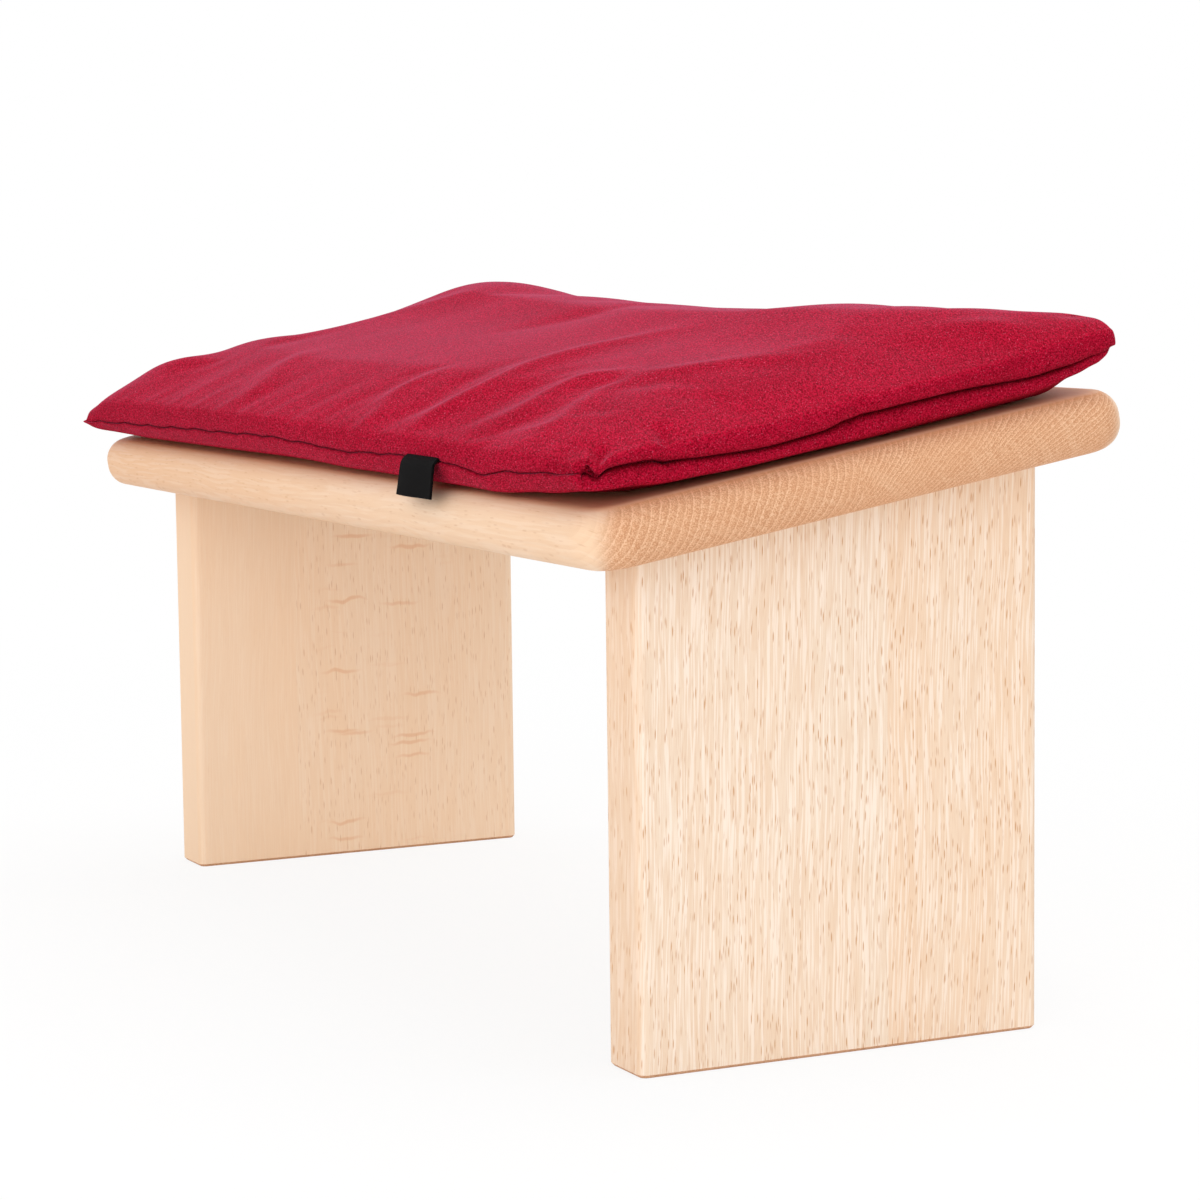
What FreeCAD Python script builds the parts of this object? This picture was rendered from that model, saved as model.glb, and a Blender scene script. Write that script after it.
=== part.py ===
# Folding meditation bench: a sloping seat board on two board legs that fold in under it on
# butt hinges, with a loose stuffed cushion on top.
# Millimetres. X runs along the seat to the right, Y to the rear, Z up.
# The origin is on the floor under the middle of the seat.

import FreeCAD, Part
import math
import os

V = FreeCAD.Vector

# Seat board
seat_length = 450.0
seat_depth = 184.0
seat_thickness = 18.0
seat_edge_radius = 8.0
seat_corner_radius = 15.0
seat_slope = 9.7
seat_centre_height = 172.4
seat_glue_line = -4.7

# Leg boards
leg_thickness = 22.0
leg_overhang = 21.0
leg_front = -67.0
leg_rear = 69.0
leg_side_radius = 3.0
leg_foot_bevel = 1.0
left_leg_glue_line = -25.5
right_leg_glue_line = 16.0
stop_gap = 0.1

# Butt hinges
pin_radius = 1.5
leaf_thickness = 1.2
leaf_width = 15.0
leaf_corner_radius = 2.5
hinge_length = 30.0
hinge_centres = {"front": -24.0, "rear": 44.0}
knuckle_count = 3
knuckle_gap = 0.3
knuckle_relief = 0.1
notch_clearance = 0.4
running_clearance = 0.05

# Countersunk wood screws
screw_length = 13.0
screw_head_radius = pin_radius + leaf_thickness
screw_shank_radius = pin_radius
screw_spacing = 17.0
screw_inset = 9.0

# Cushion
cushion_length = 450.0
cushion_width = 184.0
cushion_rest_gap = 0.3
cushion_seam_height = 9.5
cushion_draw_in = 5.0
cushion_seam_pinch = 1.6
cushion_base_inset = 9.0
cushion_shoulder_inset = 8.0
cushion_shoulder_share = 0.72
cushion_brow_inset = 20.0
cushion_brow_share = 0.93
cushion_crown_inset = 44.0
cushion_side_bulge = 4.0
cushion_end_reach = {"left": 45.0, "right": 62.0}
cushion_end_steepness = {"left": 0.36, "right": 0.42}
cushion_end_share = 0.09
cloth_thickness = 1.4
filling_end_inset = 5.0
cover_stations = [0.0, 4.0, 12.0, 30.0, 60.0, 120.0]
filling_stations = [0.0, 15.0, 115.0]

# Height of the cushion over the board, at five places from left to right: where its front
# shoulder ends, along its middle and where its rear shoulder starts
crown_places = [-225.0, -105.0, 0.0, 105.0, 225.0]
front_crown = [24.5, 27.5, 27.0, 26.0, 24.0]
middle_crown = [30.0, 30.5, 29.5, 28.5, 26.0]
rear_crown = [33.5, 31.0, 28.0, 28.5, 26.0]

# Label tab in the front seam
label_width = 27.0
label_drop = 10.5
label_lean = 3.0
label_thickness = 0.8
label_centre = 107.0

# Worked-out sizes
leg_outer_face = seat_length / 2 - leg_overhang
leg_inner_face = leg_outer_face - leg_thickness
barrel_offset = pin_radius + leaf_thickness
barrel_radius = barrel_offset - knuckle_relief
knuckle_length = (hinge_length - (knuckle_count - 1) * knuckle_gap) / knuckle_count
seat_underside = -seat_thickness / 2
seat_top = seat_thickness / 2
seat_placement = FreeCAD.Placement(
    V(0, 0, seat_centre_height), FreeCAD.Rotation(V(1, 0, 0), seat_slope)
)


def placed(shape, placement):
    copy = shape.copy()
    copy.Placement = placement.multiply(copy.Placement)
    return copy


def tilted(shape):
    """Carries a shape from the flat seat frame to its sloping place."""
    return placed(shape, seat_placement)


def sided(shape, side):
    """Mirrors a right-hand shape for the left side."""
    if side == "left":
        return shape.mirror(V(0, 0, 0), V(1, 0, 0))
    return shape


def block(x_range, y_range, z_range):
    size = [high - low for low, high in (x_range, y_range, z_range)]
    return Part.makeBox(size[0], size[1], size[2], V(x_range[0], y_range[0], z_range[0]))


def edges_along(shape, direction):
    """Straight edges that run along one direction."""
    found = []
    for edge in shape.Edges:
        if isinstance(edge.Curve, Part.Line):
            if abs(abs(edge.tangentAt(edge.FirstParameter).dot(direction)) - 1) < 1e-6:
                found.append(edge)
    return found


def edges_at_height(shape, height):
    """Edges that lie wholly in one level plane."""
    found = []
    for edge in shape.Edges:
        box = edge.BoundBox
        if abs(box.ZMin - height) < 1e-4 and abs(box.ZMax - height) < 1e-4:
            found.append(edge)
    return found


def split_by_plane(board, glue_line):
    """Splits a board into its front and rear staves at one Y, in the board's own frame."""
    reach = 400.0
    front_side = block((-reach, reach), (-reach, glue_line), (-reach, reach))
    rear_side = block((-reach, reach), (glue_line, reach), (-reach, reach))
    return board.common(front_side), board.common(rear_side)


# Hinges, modelled for the right side around the pin axis: the pin runs along Y, the seat's
# underside lies above it at barrel_offset, and the leg's inner face to its right at the same
# distance.

def knuckle_range(index):
    start = -hinge_length / 2 + index * (knuckle_length + knuckle_gap)
    return start, start + knuckle_length


def leaf(own_knuckles, bore_radius):
    """A flat leaf above the pin that runs to -X, with its rolled knuckles round the pin."""
    notch_edge = -(barrel_radius + notch_clearance)
    low_face = pin_radius
    high_face = barrel_offset
    plate = block(
        (-leaf_width, notch_edge), (-hinge_length / 2, hinge_length / 2), (low_face, high_face)
    )
    far_corners = []
    for edge in edges_along(plate, V(0, 0, 1)):
        if abs(edge.CenterOfMass.x + leaf_width) < 1e-6:
            far_corners.append(edge)
    result = plate.makeFillet(leaf_corner_radius, far_corners)

    ramp_start = -math.sqrt(barrel_offset ** 2 - barrel_radius ** 2)
    for index in own_knuckles:
        start, end = knuckle_range(index)
        corners = [
            V(notch_edge, start, low_face),
            V(notch_edge, start, high_face),
            V(ramp_start, start, high_face),
            V(0, start, barrel_radius),
            V(0, start, low_face),
        ]
        tongue_outline = Part.makePolygon(corners + corners[:1])
        tongue = Part.Face(tongue_outline).extrude(V(0, end - start, 0))
        barrel = Part.makeCylinder(barrel_radius, end - start, V(0, start, 0), V(0, 1, 0))
        result = result.fuse([tongue, barrel])

    bore = Part.makeCylinder(
        bore_radius, hinge_length + 2, V(0, -hinge_length / 2 - 1, 0), V(0, 1, 0)
    )
    result = result.cut(bore)
    for x, y in screw_places():
        result = result.cut(countersink(x, y))
    return result.removeSplitter()


def screw_places():
    """The two screw centres on a leaf."""
    return [(-screw_inset, -screw_spacing / 2), (-screw_inset, screw_spacing / 2)]


def countersink(x, y):
    return Part.makeCone(
        screw_head_radius, screw_shank_radius, leaf_thickness, V(x, y, pin_radius), V(0, 0, 1)
    )


def screw(x, y):
    """A countersunk screw driven through the leaf, its head flush with the leaf's face."""
    head = countersink(x, y)
    shank = Part.makeCylinder(
        screw_shank_radius, screw_length - leaf_thickness, V(x, y, barrel_offset), V(0, 0, 1)
    )
    return head.fuse(shank).removeSplitter()


def pin():
    return Part.makeCylinder(
        pin_radius, hinge_length, V(0, -hinge_length / 2, 0), V(0, 1, 0)
    )


# The leg leaf is the seat leaf carried round to hang down the leg, its back on the wood.
to_leg_side = FreeCAD.Placement(
    V(0, 0, 0), FreeCAD.Rotation(V(0, 0, 1), 180).multiply(FreeCAD.Rotation(V(0, 1, 0), -90))
)


def leg_side(shape):
    return placed(shape, to_leg_side)


def seat_side(shape):
    return shape


def in_place(shape, side, end):
    """Carries a hinge shape from the pin's frame to its corner under the seat."""
    corner = V(
        leg_inner_face - barrel_offset, hinge_centres[end], seat_underside - barrel_offset
    )
    moved = placed(shape, FreeCAD.Placement(corner, FreeCAD.Rotation()))
    return tilted(sided(moved, side))


def screw_group(side, turn):
    """All the screws that hold one side's leaves to the seat or to the leg."""
    solids = []
    for end in hinge_centres:
        for x, y in screw_places():
            solids.append(in_place(turn(screw(x, y)), side, end))
    return Part.makeCompound(solids)


# Boards

def seat_staves():
    board = block(
        (-seat_length / 2, seat_length / 2),
        (-seat_depth / 2, seat_depth / 2),
        (-seat_thickness / 2, seat_thickness / 2),
    )
    board = board.makeFillet(seat_corner_radius, edges_along(board, V(0, 0, 1)))
    for height in (seat_top, seat_underside):
        board = board.makeFillet(seat_edge_radius, edges_at_height(board, height))
    return [tilted(stave) for stave in split_by_plane(board, seat_glue_line)]


def leg_staves(side, glue_line):
    """A leg board with its foot level on the floor and its top cut along the seat's slope."""
    board = block(
        (leg_inner_face, leg_outer_face), (leg_front, leg_rear), (0, 2 * seat_centre_height)
    )
    board = board.makeFillet(leg_side_radius, edges_along(board, V(0, 0, 1)))
    board = board.makeChamfer(leg_foot_bevel, edges_at_height(board, 0))
    above = block(
        (0, seat_length), (-seat_depth, seat_depth),
        (seat_underside - stop_gap, 2 * seat_centre_height),
    )
    board = sided(board.cut(tilted(above)), side)
    return split_by_plane(board, glue_line)


# Cushion, modelled in the flat seat frame and standing on the board's top face.

def arc(start, middle, end):
    return Part.Arc(start, middle, end).toShape()


def bulged(start, end, bulge):
    """An arc from start to end in a plane of constant X, bulging out of the cushion."""
    if bulge == 0:
        return Part.makeLine(start, end)
    chord = end - start
    across = V(0, chord.z, -chord.y).normalize()
    return arc(start, (start + end) * 0.5 + across * bulge, end)


def cushion_fullness(from_end, end):
    """Share of the full height at a distance from an end seam, 1 along the middle."""
    share = min(from_end / cushion_end_reach[end], 1.0)
    rounded = (1 - (1 - share) ** 2) ** cushion_end_steepness[end]
    return max(rounded, cushion_end_share)


def cushion_waist(x):
    """How far the long sides are drawn in at x, none at the corners."""
    return cushion_draw_in * (1 - (2 * x / cushion_length) ** 2)


def crown_height(heights, x):
    """Height of one crown line over the board at x."""
    for index in range(1, len(crown_places)):
        low = crown_places[index - 1]
        high = crown_places[index]
        if x <= high:
            share = (x - low) / (high - low)
            return heights[index - 1] + (heights[index] - heights[index - 1]) * share
    return heights[-1]


def panel_points(x, full, skin, side, heights):
    """Seam, shoulder, brow and crown of the top panel on one side, -1 front and 1 rear."""
    seam_z = seat_top + cushion_seam_height
    rise = (crown_height(heights, x) - cushion_seam_height - skin) * full
    half = cushion_width / 2 - cushion_waist(x) - skin
    insets = [
        (cushion_seam_pinch, 0.0),
        (cushion_shoulder_inset, cushion_shoulder_share),
        (cushion_brow_inset, cushion_brow_share),
        (cushion_crown_inset, 1.0),
    ]
    return [V(x, side * (half - inset * full), seam_z + rise * share) for inset, share in insets]


def cushion_section(x, full, skin):
    """One upright section across the cushion, drawn in by the skin all round.

    The filling's sides are flat where the cover's bulge.
    """
    seam_z = seat_top + cushion_seam_height
    middle_z = seam_z + (crown_height(middle_crown, x) - cushion_seam_height - skin) * full
    low_z = seam_z - (cushion_seam_height - cushion_rest_gap - skin) * full
    base_half = cushion_width / 2 - cushion_waist(x) - skin - cushion_base_inset * full
    base_front = V(x, -base_half, low_z)
    base_rear = V(x, base_half, low_z)
    front = panel_points(x, full, skin, -1, front_crown)
    rear = panel_points(x, full, skin, 1, rear_crown)
    side_bulge = cushion_side_bulge * full if skin <= 0 else 0
    edges = [
        Part.makeLine(base_front, base_rear),
        Part.makeLine(base_rear, rear[0]),
        bulged(rear[0], rear[1], side_bulge),
        arc(rear[1], rear[2], rear[3]),
        arc(rear[3], V(x, 0, middle_z), front[3]),
        arc(front[3], front[2], front[1]),
        bulged(front[1], front[0], side_bulge),
        Part.makeLine(front[0], base_front),
    ]
    return Part.Wire(edges)


def cushion_body(stations, end_inset, skin):
    """Lofts the cushion through sections at given distances from each end and one between."""
    half = cushion_length / 2 - end_inset
    sections = []
    for step in stations:
        sections.append(cushion_section(step - half, cushion_fullness(step, "left"), skin))
    sections.append(cushion_section(0.0, 1.0, skin))
    for step in reversed(stations):
        sections.append(cushion_section(half - step, cushion_fullness(step, "right"), skin))
    return Part.makeLoft(sections, True, True)


def cushion_pieces():
    """The two cover panels, the filling inside them and the tab on the front seam."""
    outer = cushion_body(cover_stations, 0.0, 0.0)
    filling = cushion_body(filling_stations, filling_end_inset, cloth_thickness)
    cloth = outer.cut(filling)
    seam_z = seat_top + cushion_seam_height
    reach = cushion_length
    above = block((-reach, reach), (-reach, reach), (seam_z, reach))
    below = block((-reach, reach), (-reach, reach), (-reach, seam_z))
    return cloth.common(above), cloth.common(below), filling, label(outer)


def label(outer):
    """A blank woven tab that hangs from the front seam and leans out over the lower panel."""
    seam_z = seat_top + cushion_seam_height
    seam_y = cushion_seam_pinch + cushion_waist(label_centre) - cushion_width / 2
    start = label_centre - label_width / 2
    thick = V(0, label_thickness, 0)
    corners = [
        V(start, seam_y, seam_z),
        V(start, seam_y - label_lean, seam_z - label_drop / 3),
        V(start, seam_y - label_lean - 0.6, seam_z - label_drop),
    ]
    corners = corners + [corner + thick for corner in reversed(corners)]
    side = Part.Face(Part.makePolygon(corners + corners[:1]))
    return side.extrude(V(label_width, 0, 0)).cut(outer)


def save(name, shape):
    shape.exportStep("parts/" + name + ".step")
    print(name, "volume", round(shape.Volume, 1), "valid", shape.isValid())


os.makedirs("parts", exist_ok=True)

for name, stave in zip(("seat_front_stave", "seat_rear_stave"), seat_staves()):
    save(name, stave)

seat_knuckles = range(0, knuckle_count, 2)
leg_knuckles = range(1, knuckle_count, 2)
seat_leaf = leaf(seat_knuckles, pin_radius)
leg_leaf = leg_side(leaf(leg_knuckles, pin_radius + running_clearance))
hinge_pin = pin()

for side, glue_line in (("left", left_leg_glue_line), ("right", right_leg_glue_line)):
    front, rear = leg_staves(side, glue_line)
    save(side + "_leg_front_stave", front)
    save(side + "_leg_rear_stave", rear)
    for end in hinge_centres:
        hinge_name = side + "_" + end + "_hinge"
        save(hinge_name + "_seat_leaf", in_place(seat_leaf, side, end))
        save(hinge_name + "_leg_leaf", in_place(leg_leaf, side, end))
        save(hinge_name + "_pin", in_place(hinge_pin, side, end))
    save(side + "_seat_screws", screw_group(side, seat_side))
    save(side + "_leg_screws", screw_group(side, leg_side))

cover_top, cover_bottom, filling, tab = cushion_pieces()
save("cushion_cover_top", tilted(cover_top))
save("cushion_cover_bottom", tilted(cover_bottom))
save("cushion_filling", tilted(filling))
save("cushion_label", tilted(tab))
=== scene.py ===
import bpy
import math
from mathutils import Matrix, Vector


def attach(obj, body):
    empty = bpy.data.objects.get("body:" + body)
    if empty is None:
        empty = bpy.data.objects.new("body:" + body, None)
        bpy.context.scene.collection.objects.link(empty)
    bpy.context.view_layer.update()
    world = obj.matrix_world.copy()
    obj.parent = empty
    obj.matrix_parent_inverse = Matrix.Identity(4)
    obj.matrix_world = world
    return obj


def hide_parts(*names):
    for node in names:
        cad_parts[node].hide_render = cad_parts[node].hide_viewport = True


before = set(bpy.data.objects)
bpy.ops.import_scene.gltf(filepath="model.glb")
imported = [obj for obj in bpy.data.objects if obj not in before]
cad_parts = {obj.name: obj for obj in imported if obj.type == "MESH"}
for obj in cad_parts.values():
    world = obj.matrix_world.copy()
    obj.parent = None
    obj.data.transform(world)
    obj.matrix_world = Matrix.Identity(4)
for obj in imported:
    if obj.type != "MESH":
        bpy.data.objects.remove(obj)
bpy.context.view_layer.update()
print("frame loaded:", len(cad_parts), "CAD nodes")

mm = 0.001
slope = math.radians(9.7)
seatCentre = Vector((0, 0, 0.1724))
boardTop = 0.009
alongSlope = Vector((0, math.cos(slope), math.sin(slope)))  # up the seat, front to rear
offSeat = Vector((0, -math.sin(slope), math.cos(slope)))  # square to the seat's face
toRight, toRear, upward = Vector((1, 0, 0)), Vector((0, 1, 0)), Vector((0, 0, 1))


def onSeat(x, along, height):
    # a point over the seat board, from millimetres in its own flat frame
    return (seatCentre + Vector((x * mm, 0, 0)) + alongSlope * (along * mm)
            + offSeat * (boardTop + height * mm))


def screenColour(red, green, blue):
    # a colour as a screen shows it, 0 to 255, turned into Blender's linear values
    def linear(part):
        part = part / 255
        return part / 12.92 if part <= 0.04045 else ((part + 0.055) / 1.055) ** 2.4
    return (linear(red), linear(green), linear(blue), 1.0)


def screenColours(**tones):
    return {name: screenColour(*tone) for name, tone in tones.items()}


def addObject(name, data):
    made = bpy.data.objects.new(name, data)
    bpy.context.scene.collection.objects.link(made)
    return made


def addMesh(name, points, faces):
    shape = bpy.data.meshes.new(name)
    shape.from_pydata(points, [], faces)
    return shape


def solved(piece):
    # the object with its modifiers worked out
    return piece.evaluated_get(bpy.context.evaluated_depsgraph_get())


# Shader nodes written as arithmetic

class Wire:
    def __init__(self, finish, socket):
        self.finish = finish
        self.socket = socket

    def __add__(self, other):
        return self.finish.math("ADD", self, other)

    def __sub__(self, other):
        return self.finish.math("SUBTRACT", self, other)

    def __mul__(self, other):
        return self.finish.math("MULTIPLY", self, other)

    def __truediv__(self, other):
        return self.finish.math("DIVIDE", self, other)

    def __rsub__(self, other):
        return self.finish.math("SUBTRACT", other, self)

    __radd__ = __add__
    __rmul__ = __mul__


class Finish:
    # the nodes of a material or of the world
    def __init__(self, owner):
        self.owner = owner
        owner.use_nodes = True
        self.tree = owner.node_tree
        self.tree.nodes.clear()

    def join(self, value, socket):
        if isinstance(value, Wire):
            self.tree.links.new(value.socket, socket)
        else:
            socket.default_value = value

    def node(self, kind, settings, sockets, output=0):
        made = self.tree.nodes.new("ShaderNode" + kind)
        for key, value in settings.items():
            setattr(made, key, value)
        for key, value in sockets.items():
            self.join(value, made.inputs[key])
        return Wire(self, made.outputs[output])

    def math(self, operation, *values):
        return self.node("Math", {"operation": operation}, dict(enumerate(values)))

    def between(self, value, low, high, toLow=0.0, toHigh=1.0):
        # a smooth step from toLow at low to toHigh at high
        return self.node("MapRange", {"interpolation_type": "SMOOTHSTEP"},
                         {0: value, 1: low, 2: high, 3: toLow, 4: toHigh})

    def vectorMath(self, operation, sockets, output="Vector"):
        return self.node("VectorMath", {"operation": operation}, sockets, output)

    def dot(self, first, second):
        return self.vectorMath("DOT_PRODUCT", {0: first, 1: second}, "Value")

    def stretched(self, parts, sizes, moved=(0, 0, 0)):
        # a place told in steps of its own size along each way, and moved on by a few steps
        return self.node("CombineXYZ", {}, {
            number: part / size + move if move else part / size
            for number, (part, size, move) in enumerate(zip(parts, sizes, moved))})

    def noise(self, vector, scale=1.0, detail=2.0, roughness=0.5):
        return self.node("TexNoise", {"noise_dimensions": "3D"},
                         {"Vector": vector, "Scale": scale, "Detail": detail,
                          "Roughness": roughness}, "Fac")

    def cells(self, vector, output="Distance"):
        return self.node("TexVoronoi", {"voronoi_dimensions": "3D", "feature": "F1"},
                         {"Vector": vector, "Scale": 1.0, "Randomness": 1.0}, output)

    def draw(self, vector, channel):
        # a number from 0 to 1 that every cell has for itself
        return self.node("SeparateColor", {}, {0: self.cells(vector, "Color")}, channel)

    def mix(self, factor, first, second):
        return self.node("Mix", {"data_type": "RGBA", "blend_type": "MIX"},
                         {0: factor, 6: first, 7: second}, 2)

    def layered(self, colour, layers):
        # lays one colour after the other over the first, each with its own share
        for share, tone in layers:
            colour = self.mix(share, colour, tone)
        return colour

    def place(self):
        # object coordinates in millimetres
        found = self.node("TexCoord", {}, {}, "Object")
        return self.vectorMath("SCALE", {0: found, "Scale": 1 / mm})

    def facing(self, way):
        # how far the surface faces that way, -1 to 1
        return self.dot(self.node("TexCoord", {}, {}, "Normal"), way)

    def bump(self, height, distance, strength):
        return self.node("Bump", {},
                         {"Strength": strength, "Distance": distance, "Height": height})

    def coat(self, sockets):
        return self.node("BsdfPrincipled", {}, sockets, "BSDF")

    def show(self, shader, kind="OutputMaterial"):
        out = self.tree.nodes.new("ShaderNode" + kind)
        self.tree.links.new(shader.socket, out.inputs["Surface"])
        return self.owner


def newFinish(name):
    return Finish(bpy.data.materials.new(name))


# Beech: six staves, each sawn from its own place in the log

beech = {
    **screenColours(
        cream=(240, 219, 197), peach=(240, 205, 172), fleck=(198, 140, 90),
        paleStreak=(254, 240, 226), ringLine=(226, 186, 150), bar=(218, 150, 94),
        endGrain=(217, 163, 124), endLine=(192, 134, 94), endPale=(243, 202, 166),
        # the tone for the seat's top is painted shade and red bounce light
        endShade=(216, 160, 120), warm=(226, 174, 130), topOil=(240, 178, 126),
        # the last, palest tone is painted light that lifts the left leg
        # the narrow-face tone is painted shade for the legs' front and rear faces
        narrowFace=(230, 188, 150), bleach=(255, 232, 204)),
    # sizes round the log, across the rings and along the grain
    "fleckSize": (0.8, 40.0, 7.0),
    "longFleckSize": (1.1, 30.0, 13.0),
    "darkSize": (0.36, 8.0, 11.0),
    "paleSize": (0.612, 8.0, 22.0),
    "fibreSize": (0.5, 0.8, 22.0),
    "cloudSize": (18.0, 12.0, 90.0),
    "rayLineSize": (0.7, 30.0, 40.0),
    # sizes to the side, deeper in and along the grain
    "ringStraySize": (14.0, 14.0, 90.0),
    "poreSize": (0.4, 0.4, 0.6),
    # sizes along the grain, to the side and deeper in
    "swaySize": (70.0, 60.0, 60.0),
    "deepSwaySize": (55.0, 50.0, 50.0),
    "sway": 5.0,
    "ringStray": 3.0,
    "logRadius": 95.0,
    "barHeight": 3.2,
    "barPlace": 12.0,  # the bars' band on the face, from the middle to the rear
    "roughness": 0.46,
    "grainDepth": 0.05 * mm,
    "boardOil": 0.1,
}

# "flecks", "streaks", "rings", "endRings" and "rays" say how strongly each of them shows
seatBeech = {"flecks": 0.32, "streaks": 0.2, "rings": 0.5, "rays": 0.0, "warm": 0.62, "bleach": 0.0}
# on the left leg a pale tone is laid over as painted light, for the light that reaches it under the
# seat
leftBeech = {"endRings": 0.5, "ringWidth": 2.1, "rays": 0.0, "warm": 0.0, "bleach": 0.36}
rightBeech = {"flecks": 1.0, "endRings": 0.5, "ringWidth": 2.1, "rays": 0.0, "warm": 0.0,
              "bleach": 0.0}
staves = {
    "seat_front_stave": dict(
        seatBeech, grain=(1.0, 0.010, 0.004), heart=(0, -200, 220), peach=0.85, endRings=0.8,
        ringWidth=2.4, seed=11.0),
    "seat_rear_stave": dict(
        seatBeech, grain=(1.0, -0.012, 0.0), heart=(0, 165, 45), peach=0.8, endRings=1.0,
        ringWidth=1.3, seed=27.0),
    "left_leg_front_stave": dict(
        leftBeech, grain=(0.0, 0.015, 1.0), heart=(-260, -40, 0), peach=0.72, flecks=0.12,
        streaks=0.25, rings=0.25, seed=41.0),
    "left_leg_rear_stave": dict(
        leftBeech, grain=(0.0, -0.01, 1.0), heart=(-290, 30, 0), peach=0.7, flecks=0.8,
        streaks=0.4, rings=0.2, rays=1.0, seed=58.0),
    "right_leg_front_stave": dict(
        rightBeech, grain=(0.0, 0.02, 1.0), heart=(120, -35, 0), peach=0.14, streaks=1.0,
        rings=0.35, seed=73.0),
    "right_leg_rear_stave": dict(
        rightBeech, grain=(0.0, 0.03, 1.0), heart=(110, 30, 0), peach=0.46, streaks=0.9,
        rings=0.3, seed=89.0),
}


def logPlace(finish, stave, grain):
    # where a point lay in the log: along the grain, to the side and deep, then out and round it
    outward = upward if abs(grain.x) > 0.5 else toRight
    outward = (outward - grain * outward.dot(grain)).normalized()
    place = finish.vectorMath("SUBTRACT", {0: finish.place(), 1: Vector(stave["heart"])})
    along = finish.dot(place, grain) + stave["seed"] * 13.0
    deep = finish.dot(place, outward)
    side = finish.dot(place, grain.cross(outward))
    # the trunk wasn't straight: the grain wanders a little on its way up
    sway = finish.noise(finish.stretched((along, side, deep), beech["swaySize"]), detail=1.0)
    side = side + (sway - 0.5) * beech["sway"]
    sway = finish.noise(finish.stretched((along, side, deep), beech["deepSwaySize"],
                                         (stave["seed"], 0, 0)), detail=1.0)
    deep = deep + (sway - 0.5) * beech["sway"]
    radius = finish.math("SQRT", side * side + deep * deep)
    turn = finish.math("ARCTAN2", side, deep) * beech["logRadius"]
    return along, side, deep, radius, turn


def fleckShare(finish, log, seed):
    # flecks are the cut ends of the rays, in two sizes
    small = finish.stretched(log, beech["fleckSize"])
    fleck = finish.between(finish.cells(small), 0.12, 0.3, 1.0, 0.0)
    fleck = fleck * finish.between(finish.draw(small, 0), -0.2, 0.9)
    large = finish.stretched(log, beech["longFleckSize"], (0, 0, seed))
    return fleck + finish.between(finish.cells(large), 0.05, 0.17, 1.0, 0.0) * 0.8


def barShare(finish, along, seed):
    # where a ray lies in the face it shows as a short silky bar across the grain
    across = finish.dot(finish.place(), toRear)
    wave = finish.noise(finish.node("CombineXYZ", {}, {
        0: across / 7.0, 1: 0.0, 2: along / 30.0}), detail=1.0)
    bars = finish.node("CombineXYZ", {}, {
        0: seed, 1: across / 30.0, 2: (along + wave * 4.0) / beech["barHeight"]})
    bar = finish.between(finish.cells(bars), 0.12, 0.36, 1.0, 0.0)
    band = finish.between(finish.math("ABSOLUTE", across - beech["barPlace"]), 20.0, 34.0, 1.0, 0.0)
    return bar * band * finish.between(finish.draw(bars, 1), 0.2, 0.8)


def endShare(finish, grain, isSeat):
    ends = finish.math("ABSOLUTE", finish.facing(grain))
    if not isSeat:
        return finish.between(ends, 0.3, 0.8)
    # on the seat the end grain runs over the rounded top edge to the face
    level = finish.facing(upward)
    turned = finish.math("SQRT", 1.0001 - level * level)
    return finish.between(ends / turned, 0.55, 0.95) * finish.between(level, 0.93, 0.985, 1.0, 0.0)


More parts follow.
